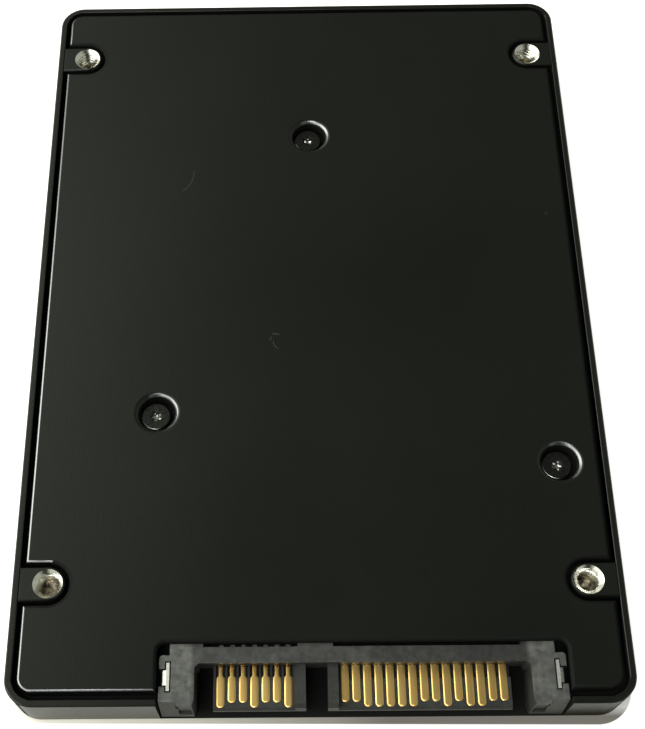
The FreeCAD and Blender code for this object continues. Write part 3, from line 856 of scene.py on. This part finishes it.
# %% [markdown]
# ## Threads in the holes
#
# A tapped hole is a helix cut into the wall, so the same is done here: a tap is modelled and taken away
# from the case. The tap is a disc extruded upwards in small steps. Then each point is moved out or in
# by how far along the thread's pitch its height and its angle together put it, which turns the stack of
# rings into one screw line. Its valleys stay inside the drilled hole and cut nothing, so the crests
# of the finished thread are as flat as real ones.

# %% Tap
THREAD_PITCH = 0.5 * MM
TAP_SIDES = 48
STEPS_PER_TURN = 8
TAP_CORE = HOLE_RADIUS - 0.06 * MM
TAP_CREST = HOLE_RADIUS + 0.17 * MM


def make_tap(name, length):
    """A tap of one length that stands on the origin and points up."""
    bpy.ops.object.select_all(action="DESELECT")
    bpy.ops.mesh.primitive_circle_add(vertices=TAP_SIDES, radius=TAP_CORE, fill_type="NGON")
    tap = bpy.context.object
    tap.name = name
    step = THREAD_PITCH / STEPS_PER_TURN
    bpy.ops.object.mode_set(mode="EDIT")
    bpy.ops.mesh.select_all(action="SELECT")
    rings = round(length / step)
    for _ in range(rings):
        bpy.ops.mesh.extrude_region_move(TRANSFORM_OT_translate={"value": (0, 0, step)})
    bpy.ops.mesh.select_all(action="SELECT")
    bpy.ops.mesh.normals_make_consistent(inside=False)
    bpy.ops.object.mode_set(mode="OBJECT")
    for vertex in tap.data.vertices:
        angle = math.atan2(vertex.co.y, vertex.co.x)
        share_of_pitch = (vertex.co.z / THREAD_PITCH - angle / (2 * math.pi)) % 1
        height = 1 - abs(2 * share_of_pitch - 1)
        at_end = vertex.co.z < step / 2 or vertex.co.z > (rings - 0.5) * step
        radius = TAP_CORE if at_end else TAP_CORE + (TAP_CREST - TAP_CORE) * height
        vertex.co.x = radius * math.cos(angle)
        vertex.co.y = radius * math.sin(angle)
    return tap


def tap_hole(tap, mouth, out, reach):
    """A copy of the tap, turned along a hole, with its end a reach below the mouth."""
    copy = tap.copy()
    copy.data = tap.data.copy()
    bpy.context.collection.objects.link(copy)
    turned = Vector((0, 0, 1)).rotation_difference(out).to_matrix().to_4x4()
    copy.data.transform(Matrix.Translation(mouth - out * reach) @ turned)
    return copy


FACE_REACH = 2.75 * MM
SIDE_REACH = 2.3 * MM
face_tap = make_tap("face_tap", 2.5 * MM)
side_tap = make_tap("side_tap", 2.25 * MM)
taps = [tap_hole(face_tap, mouth, out, FACE_REACH) for mouth, out in FACE_HOLES]
taps += [tap_hole(side_tap, mouth, out, SIDE_REACH) for mouth, out in SIDE_HOLES]
for model in (face_tap, side_tap):
    bpy.data.objects.remove(model)
only(taps[0])
for tap in taps:
    tap.select_set(True)
bpy.ops.object.join()
cutters = bpy.context.object

only(case)
cut = case.modifiers.new("threads", "BOOLEAN")
cut.operation = "DIFFERENCE"
cut.solver = "EXACT"
cut.object = cutters
bpy.ops.object.modifier_apply(modifier=cut.name)
bpy.data.objects.remove(cutters)
print("case after tapping:", len(case.data.polygons), "faces")

# %% [markdown]
# The edges are rounded after the threads are cut, because a cut works best on a plain closed skin.

# %% Rounded edges of the case
FOOT_BAND = 0.25 * MM
RIM_BAND = 0.3 * MM
RIM_MIDDLE = 0.4 * MM
RIM_REACH = 1.0 * MM
PAD_REACH = 2.1 * MM
AROUND_PAD = 1.6 * PAD_REACH
MOUTH_REACH = 1.9 * MM


def on_foot(first, second):
    return is_level(first, second) and first.z < FOOT_BAND


def near_hole(point, reach):
    return any(math.hypot(point.x - mouth.x, point.y - mouth.y) < reach for mouth, _ in FACE_HOLES)


def inset(point):
    """How far a point lies inside the drive's outline."""
    return min(CASE_RIGHT - abs(point.x), CAD_BOX[1].y - abs(point.y))


def at_top(first, second):
    return is_level(first, second) and min(first.z, second.z) > TOP - RIM_BAND


def on_rim_inside(first, second):
    beside_pad = any(abs(first.y - mouth.y) < PAD_REACH for mouth, _ in FACE_HOLES)
    inside = min(inset(first), inset(second)) > RIM_MIDDLE and inset(first) < RIM_REACH
    return at_top(first, second) and inside and not beside_pad


def on_pad(first, second):
    around = near_hole(first, AROUND_PAD) and min(inset(first), inset(second)) > RIM_MIDDLE
    mouth = near_hole(first, MOUTH_REACH) and near_hole(second, MOUTH_REACH)
    return at_top(first, second) and around and not mouth


round_edges(case, on_foot, 0.08, 2)
round_edges(case, on_rim_inside, 0.14, 3)
round_edges(case, on_pad, 0.05, 2)

# %% [markdown]
# The faces of the holes are now picked out by their place and given the bare metal. The countersink's
# rim is where the paint stops. The bottoms of the holes in the face get a darker, browner aluminium, and
# the groove between the rim and the cover gets the blacker, dull coat as painted shade.

# %% Coats and bare metal of the case
COUNTERSINK_REACH = 1.75 * MM
FACE_HOLE_DEPTH = 3.1 * MM
SIDE_HOLE_DEPTH = 2.6 * MM
HOLE_BOTTOM_LEVEL = TOP - 2.45 * MM
CASE_COAT, BARE, GROOVE_SHADE_COAT, HOLE_BOTTOM = range(4)


def in_face_hole(point):
    return near_hole(point, COUNTERSINK_REACH) and TOP - FACE_HOLE_DEPTH < point.z <= TOP - LEVEL


def in_side_hole(point):
    across = CASE_RIGHT - abs(point.x)
    return 0.001 * MM < across < SIDE_HOLE_DEPTH and any(
        math.hypot(point.y - mouth.y, point.z - mouth.z) < TAP_CREST for mouth, _ in SIDE_HOLES
    )


case.data.materials.clear()
for coat in (CASE_PAINT, CUT_ALUMINIUM, DULL_SHADE_PAINT, DARK_HOLE_ALUMINIUM):
    case.data.materials.append(coat)
for face in case.data.polygons:
    middle = face.center
    if in_face_hole(middle):
        # Below a depth the holes' faces get the darker, browner aluminium.
        face.material_index = HOLE_BOTTOM if middle.z < HOLE_BOTTOM_LEVEL else BARE
    elif in_side_hole(middle):
        face.material_index = BARE
    # The groove gets the blacker coat as painted shade.
    elif inset(middle) > RIM_MIDDLE and middle.z < TOP - RIM_BAND:
        face.material_index = GROOVE_SHADE_COAT
    else:
        face.material_index = CASE_COAT
bare = sum(face.material_index in (BARE, HOLE_BOTTOM) for face in case.data.polygons)
print("bare metal faces:", bare)
finish_piece(case, None, "case_paint", "main_case")

# %% [markdown]
# ## The screws
#
# Three small flat-headed screws hold the cover. One is modelled and copied. A cylinder is the head, and
# its underside is inset and drawn down into the shank. The top is inset three times. The first two rings
# keep it flat when it is shaded smooth. The points of the third are moved onto a five-lobed curve, which
# is then pushed down to make the driver's recess.

# %% Model of one screw
SCREW_SIDES = 60
HEAD_HEIGHT = 0.8 * MM
SHANK_RADIUS = 0.8 * MM
RECESS_RADIUS = 0.56 * MM
RECESS_WAVE = 0.13 * MM
RECESS_DEPTH = 0.5 * MM
RECESS_FOOT_INSET = 0.2 * MM
RECESS_FOOT_DEPTH = 0.12 * MM
FLAT_MARGIN = 0.22 * MM
RECESS_MARGIN = 0.6 * RECESS_RADIUS
HEAD_RIM_START = 0.9 * HEAD_RADIUS
RECESS_RIM_END = 1.5 * RECESS_RADIUS
LOBES = 5


def faces_facing(skin, direction, level):
    """Selects the faces that look one way at one height."""
    for face in skin.faces:
        level_with = abs(face.calc_center_median().z - level) < 0.005 * MM
        face.select = level_with and face.normal.dot(direction) > 0.99


def make_screw():
    """A screw on the origin's axis, with its head's top at its real height."""
    bpy.ops.object.select_all(action="DESELECT")
    bpy.ops.mesh.primitive_cylinder_add(
        vertices=SCREW_SIDES,
        radius=HEAD_RADIUS,
        depth=HEAD_HEIGHT,
        location=(0, 0, HEAD_TOP - HEAD_HEIGHT / 2),
    )
    screw = bpy.context.object
    bpy.ops.object.transform_apply(location=True)
    bpy.ops.object.mode_set(mode="EDIT")
    bpy.ops.mesh.select_mode(type="FACE")
    skin = bmesh.from_edit_mesh(screw.data)
    faces_facing(skin, Vector((0, 0, -1)), HEAD_TOP - HEAD_HEIGHT)
    bpy.ops.mesh.inset(thickness=HEAD_RADIUS - SHANK_RADIUS)
    bpy.ops.mesh.extrude_region_move(
        TRANSFORM_OT_translate={"value": (0, 0, SCREW_FOOT - HEAD_TOP + HEAD_HEIGHT)}
    )
    skin = bmesh.from_edit_mesh(screw.data)
    faces_facing(skin, Vector((0, 0, 1)), HEAD_TOP)
    bpy.ops.mesh.inset(thickness=FLAT_MARGIN)
    bpy.ops.mesh.inset(thickness=HEAD_RADIUS - FLAT_MARGIN - RECESS_MARGIN - RECESS_RADIUS)
    bpy.ops.mesh.inset(thickness=RECESS_MARGIN)
    skin = bmesh.from_edit_mesh(screw.data)
    for vertex in {vertex for face in skin.faces if face.select for vertex in face.verts}:
        angle = math.atan2(vertex.co.y, vertex.co.x)
        radius = RECESS_RADIUS + RECESS_WAVE * math.cos(LOBES * angle)
        vertex.co.x = radius * math.cos(angle)
        vertex.co.y = radius * math.sin(angle)
    bmesh.update_edit_mesh(screw.data)
    bpy.ops.mesh.extrude_region_move(TRANSFORM_OT_translate={"value": (0, 0, -RECESS_DEPTH)})
    bpy.ops.mesh.inset(thickness=RECESS_FOOT_INSET, depth=-RECESS_FOOT_DEPTH)
    bpy.ops.object.mode_set(mode="OBJECT")
    return screw


def on_head(first, second):
    return is_level(first, second) and first.z > HEAD_TOP - LEVEL


def on_head_rim(first, second):
    return on_head(first, second) and first.xy.length > HEAD_RIM_START


def on_recess_rim(first, second):
    return on_head(first, second) and first.xy.length < RECESS_RIM_END


screw_model = make_screw()
round_edges(screw_model, on_head_rim, 0.17, 3)
round_edges(screw_model, on_recess_rim, 0.04, 2)

# %% [markdown]
# The rim of the head gets a painted highlight on one side, and the bottom of the recess is scraped bright
# by the driver.

# %% Finish of one screw
RIM_WIDTH = 0.18 * MM
SCRAPED_DEPTH = 0.4 * MM
SCRAPED_REACH = 1.4 * RECESS_RADIUS
BLACKENED, SCRAPED, HIGHLIT_RIM = range(3)
for steel in (BLACK_STEEL, BRIGHT_STEEL, HIGHLIT_RIM_STEEL):
    screw_model.data.materials.append(steel)
for face in screw_model.data.polygons:
    out = face.center.xy.length
    depth = HEAD_TOP - face.center.z
    in_recess = out < SCRAPED_REACH and SCRAPED_DEPTH < depth < HEAD_HEIGHT - LEVEL
    on_rim = out > HEAD_RADIUS - RIM_WIDTH and LEVEL / 2 < depth < RIM_WIDTH
    # The rim's side towards the lamps is a painted highlight.
    if on_rim:
        face.material_index = HIGHLIT_RIM
    else:
        face.material_index = SCRAPED if in_recess else BLACKENED
print("faces on the worn rim:", sum(face.material_index == HIGHLIT_RIM for face in screw_model.data.polygons))

# %% [markdown]
# Three copies go into the cups, each turned as its driver left it. They stay one object, because they
# are one part of the frame.

# %% Three screws
SCREW_TURNS_DEG = (14, 41, 65)
screws = []
for place, turn_deg in zip(SCREW_PLACES, SCREW_TURNS_DEG):
    one = screw_model.copy()
    one.data = screw_model.data.copy()
    bpy.context.collection.objects.link(one)
    spun = Matrix.Rotation(math.radians(turn_deg), 4, "Z")
    one.data.transform(Matrix.Translation((place.x, place.y, 0)) @ spun)
    screws.append(one)
bpy.data.objects.remove(screw_model)
only(screws[0])
for one in screws:
    one.select_set(True)
bpy.ops.object.join()
screws = bpy.context.object
screws.name = "blackened_screws"
screws.data.name = "blackened_screws"
finish_piece(screws, None, "screw_steel", "cover_screws")
store_looks(screws)

# %% [markdown]
# ## The connector
#
# A moulding has no edge sharper than its tool, about a twentieth of a millimetre. The long top edges of
# the body, the arms and the key legs get that rounding, because they catch the light. Faces that lie
# below the tops of the keys, or look out of the connector's mouth, get the darker plastic as painted
# shade.

# %% Connector body
connector = merged_copy("connector_housing", "moulded_connector")
KEY_LEVEL = 5.0 * MM
KEY_TOP = 5.35 * MM
EDGE_LENGTH = 0.4 * MM
PALE_SKIN, SHADED_SKIN = range(2)


def on_moulded_edge(first, second):
    return min(first.z, second.z) > KEY_LEVEL and (first - second).length > EDGE_LENGTH


round_edges(connector, on_moulded_edge, 0.05, 2)
connector.data.materials.clear()
connector.data.materials.append(CONNECTOR_PLASTIC)
connector.data.materials.append(CAVITY_SHADE_PLASTIC)
for face in connector.data.polygons:
    # Low faces and faces looking out of the mouth get painted shade.
    in_shade = face.center.z < KEY_TOP or face.normal.y < -0.5
    face.material_index = SHADED_SKIN if in_shade else PALE_SKIN
finish_piece(connector, None, "connector_plastic", "connector_housing")

# %% [markdown]
# ## The contacts
#
# The blades are stamped from strip and coined, which leaves a flat middle and a shallow slope all round.
# The slope mirrors another part of the room than the flat does, and so each blade has a pale edge. The
# flat top of a copy is inset, and the old outline round it is let down a little.

# %% One contact
CONTACT_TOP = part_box("power_contact_1")[1].z
COIN_WIDTH = 0.09 * MM
COIN_DROP = 0.039 * MM


def coined_contact(node):
    """A copy of one contact whose flat top is drawn in and left with a shallow slope round it."""
    piece = merged_copy(node, "coined_" + node)
    bpy.ops.object.mode_set(mode="EDIT")
    bpy.ops.mesh.select_mode(type="FACE")
    bpy.ops.mesh.select_all(action="DESELECT")
    skin = bmesh.from_edit_mesh(piece.data)
    faces_facing(skin, Vector((0, 0, 1)), CONTACT_TOP)
    bmesh.update_edit_mesh(piece.data)
    bpy.ops.mesh.inset(thickness=COIN_WIDTH)
    skin = bmesh.from_edit_mesh(piece.data)
    flat = {vertex for face in skin.faces if face.select for vertex in face.verts}
    for vertex in skin.verts:
        if abs(vertex.co.z - CONTACT_TOP) < 0.001 * MM and vertex not in flat:
            vertex.co.z -= COIN_DROP
    bmesh.update_edit_mesh(piece.data)
    bpy.ops.object.mode_set(mode="OBJECT")
    return piece


# %% [markdown]
# The gold ends where a blade enters the body, and dull bronze goes on behind it. The tails of the data
# contacts come out at the back and are tinned for soldering.

# %% All contacts
CONTACT_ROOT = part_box("connector_housing")[0].y + 5.0 * MM
GOLD_END = CONTACT_ROOT - 0.3 * MM
TAIL_START = CONTACT_ROOT + 1.2 * MM
GILT, BRONZE, TINNED = range(3)
for node in sorted(frame["nodes"]):
    if "_contact_" not in node:
        continue
    contact = coined_contact(node)
    contact.data.materials.clear()
    for plating in (GOLD, DULL_BRONZE, TIN):
        contact.data.materials.append(plating)
    for face in contact.data.polygons:
        face.material_index = BRONZE if face.center.y > GOLD_END else GILT
        if face.center.y > TAIL_START and node.startswith("signal"):
            face.material_index = TINNED
    finish_piece(contact, None, "contact_gold", node)

# %% [markdown]
# ## The table
#
# The drive lies on a pale table. The case's front wall is black, and yet it shows grey in the picture,
# because it mirrors the table at a flat angle. The table adds white of its own for the camera only, so
# that it reads white without more light falling on the drive, and it keeps its shadow.

# %% Table
FLOOR_SIZE = 6.0
FLOOR_DROP = 0.02 * MM
bpy.ops.object.select_all(action="DESELECT")
bpy.ops.mesh.primitive_plane_add(size=FLOOR_SIZE, location=(0, 0, -FLOOR_DROP))
table = bpy.context.object
table.name = "table"
print("table:", FLOOR_SIZE, "m wide")

# %% [markdown]
# Close to the drive the table is in its shade. The distance from the drive's outline is worked out as
# for a rectangle with round corners: what a point lies past the corners' middles, less their radius.
# The picture shows a little more of that strip towards the front right, so the distance leans that way.

# %% Distance from the drive's outline
CORNER_RADIUS = 3.2 * MM
STRIP_LEAN = (-0.0091, 0.0074, 0)


def outline_distance(tree, place):
    """How far a point of the table lies outside the drive's rounded outline, with the lean."""
    core = (CAD_BOX[1].x - CORNER_RADIUS, CAD_BOX[1].y - CORNER_RADIUS, 1)
    past = add(tree, "ShaderNodeVectorMath", {0: place}, operation="ABSOLUTE").outputs[0]
    past = add(tree, "ShaderNodeVectorMath", {0: past, 1: core}, operation="SUBTRACT").outputs[0]
    past = add(tree, "ShaderNodeVectorMath", {0: past, 1: (0, 0, 0)}, operation="MAXIMUM").outputs[0]
    far = add(tree, "ShaderNodeVectorMath", {0: past}, operation="LENGTH").outputs["Value"]
    far = add(tree, "ShaderNodeMath", {0: far, 1: CORNER_RADIUS}, operation="SUBTRACT").outputs[0]
    lean = add(
        tree, "ShaderNodeVectorMath", {0: place, 1: STRIP_LEAN}, operation="DOT_PRODUCT"
    ).outputs["Value"]
    return add(tree, "ShaderNodeMath", {0: far, 1: lean}, operation="ADD").outputs[0]


# %% [markdown]
# The surface is a matt white that adds some light of its own where the camera sees it, little in the
# strip beside the drive and much beyond it. In front of the drive the strip also darkens to a warm grey
# towards the right, away from the windows.

# %% Surface of the table
STRIP_START = 0.26 * MM
STRIP_END = 0.4 * MM
LIFT_IN_STRIP = 0.12
LIFT_BEYOND = 0.72
FRONT_STRIP = (-49 * MM, -50 * MM)
STRIP_SHADE = (-29 * MM, 8 * MM)
table_paint = bpy.data.materials.new("white_table")
table_paint.use_nodes = True
tree = table_paint.node_tree
tree.nodes.remove(tree.nodes["Principled BSDF"])
place = add(tree, "ShaderNodeTexCoord").outputs["Object"]
away = outline_distance(tree, place)
beyond = add(
    tree, "ShaderNodeMapRange", {"Value": away, "From Min": STRIP_START, "From Max": STRIP_END}
).outputs["Result"]
lit = add(
    tree, "ShaderNodeMapRange", {"Value": beyond, "To Min": LIFT_IN_STRIP, "To Max": LIFT_BEYOND}
).outputs["Result"]
seen = add(tree, "ShaderNodeLightPath").outputs["Is Camera Ray"]
lift = add(tree, "ShaderNodeMath", {0: seen, 1: lit}, operation="MULTIPLY").outputs[0]
close = add(tree, "ShaderNodeMath", {0: 1.0, 1: beyond}, operation="SUBTRACT").outputs[0]
in_front = along(tree, place, "Y", *FRONT_STRIP, 0.0, 1.0)
shaded = add(tree, "ShaderNodeMath", {0: in_front, 1: close}, operation="MULTIPLY").outputs[0]
strip = add(
    tree,
    "ShaderNodeMix",
    {
        "Factor": along(tree, place, "X", *STRIP_SHADE, 0.0, 1.0),
        6: linear("#fffbee"),
        7: linear("#565040"),
    },
    data_type="RGBA",
).outputs[2]
top = add(
    tree, "ShaderNodeMix", {"Factor": shaded, 6: linear("#f0efec"), 7: strip}, data_type="RGBA"
).outputs[2]
matt = add(tree, "ShaderNodeBsdfDiffuse", {"Color": top}).outputs[0]
glow = add(tree, "ShaderNodeEmission", {"Color": linear("#ffffff"), "Strength": lift}).outputs[0]
both = add(tree, "ShaderNodeAddShader", {0: matt, 1: glow}).outputs[0]
tree.links.new(both, tree.nodes["Material Output"].inputs["Surface"])
table.data.materials.append(table_paint)
print("strip beside the drive, mm:", round(STRIP_START / MM, 2), "to", round(STRIP_END / MM, 2))

# %% [markdown]
# ## The room
#
# A black drive shows little of its own: most of what the eye gets is the room in it. So the room is
# bright on the left, where the windows are, with a faint grey wall on the right and dimmer light in
# front, behind and overhead. Each of these is a brightness that changes along one axis of the direction
# of sight, and they are multiplied or added. The camera itself sees plain white behind the table.

# %% Room
ROOM_TINGE = "#faffef"
world = bpy.data.worlds.new("room")
bpy.context.scene.world = world
world.use_nodes = True
tree = world.node_tree
background = tree.nodes["Background"]
sight = add(tree, "ShaderNodeTexCoord").outputs["Generated"]
left_side = along(tree, sight, "X", -0.36, -0.03, 1.7, 0.0)
dim_front = along(tree, sight, "Y", -0.5, 0.1, 0.35, 1.0)
dim_back = along(tree, sight, "Y", 0.5, 0.75, 1.0, 0.3)
dim_ceiling = along(tree, sight, "Z", 0.86, 0.97, 1.0, 0.3)
for dimming in (dim_front, dim_back, dim_ceiling):
    left_side = add(tree, "ShaderNodeMath", {0: left_side, 1: dimming}, operation="MULTIPLY").outputs[0]
far_end = along(tree, sight, "Y", -0.3, 0.7, 0.02, 0.2)
dim_right = along(tree, sight, "X", 0.3, 0.6, 1.0, 0.15)
far_end = add(tree, "ShaderNodeMath", {0: far_end, 1: dim_right}, operation="MULTIPLY").outputs[0]
right_wall = along(tree, sight, "X", 0.3, 0.65, 0.0, 0.4)
level = add(tree, "ShaderNodeMath", {0: far_end, 1: right_wall}, operation="ADD").outputs[0]
level = add(tree, "ShaderNodeMath", {0: left_side, 1: level}, operation="ADD").outputs[0]
seen = add(tree, "ShaderNodeLightPath").outputs["Is Camera Ray"]
strength = add(tree, "ShaderNodeMix", {"Factor": seen, 2: level, 3: 1.0}, data_type="FLOAT")
tree.links.new(strength.outputs[0], background.inputs["Strength"])
tinge = add(
    tree,
    "ShaderNodeMix",
    {"Factor": seen, 6: linear(ROOM_TINGE), 7: linear("#ffffff")},
    data_type="RGBA",
)
tree.links.new(tinge.outputs[2], background.inputs["Color"])
print("room:", world.name, ROOM_TINGE)


# %% [markdown]
# ## The lamps
#
# Two windows and a lamp overhead draw what is sharp in the picture. Leaving out one at a time shows what
# each does. The left window makes the line on the cover's left rolled edge. The lamp overhead makes the
# one on its front edge, and gives the near holes and the blades more light than both windows together.
# The window to the front left does most for the far holes. All three are wide enough to look soft. Only
# the brightest parts of the bare metal burn out to white, as they do in the picture.

# %% Lamps
LAMP_DISTANCE = 1.0
DAYLIGHT = "#fbfff2"


def softbox(name, azimuth_deg, height_deg, size, power, colour):
    """A flat lamp that looks at the drive. Azimuth 0 is in front of the connector, 90 on the left."""
    lamp = bpy.data.lights.new(name, "AREA")
    lamp.shape = "RECTANGLE"
    lamp.size, lamp.size_y = size
    lamp.energy = power
    lamp.color = linear(colour)[:3]
    box = bpy.data.objects.new(name, lamp)
    bpy.context.collection.objects.link(box)
    azimuth = math.radians(azimuth_deg)
    height = math.radians(height_deg)
    way = Vector((
        -math.sin(azimuth) * math.cos(height),
        -math.cos(azimuth) * math.cos(height),
        math.sin(height),
    ))
    box.location = way * LAMP_DISTANCE
    box.rotation_euler = way.to_track_quat("Z", "Y").to_euler()
    print(f"{name}: {power} W at azimuth {azimuth_deg}, height {height_deg}")


softbox("overhead_lamp", 22, 66, (0.3, 0.3), 2.2, "#ffffff")
softbox("front_left_window", 48, 36, (0.75, 0.4), 1.9, DAYLIGHT)
softbox("left_window", 98, 31, (0.9, 0.65), 4.6, DAYLIGHT)
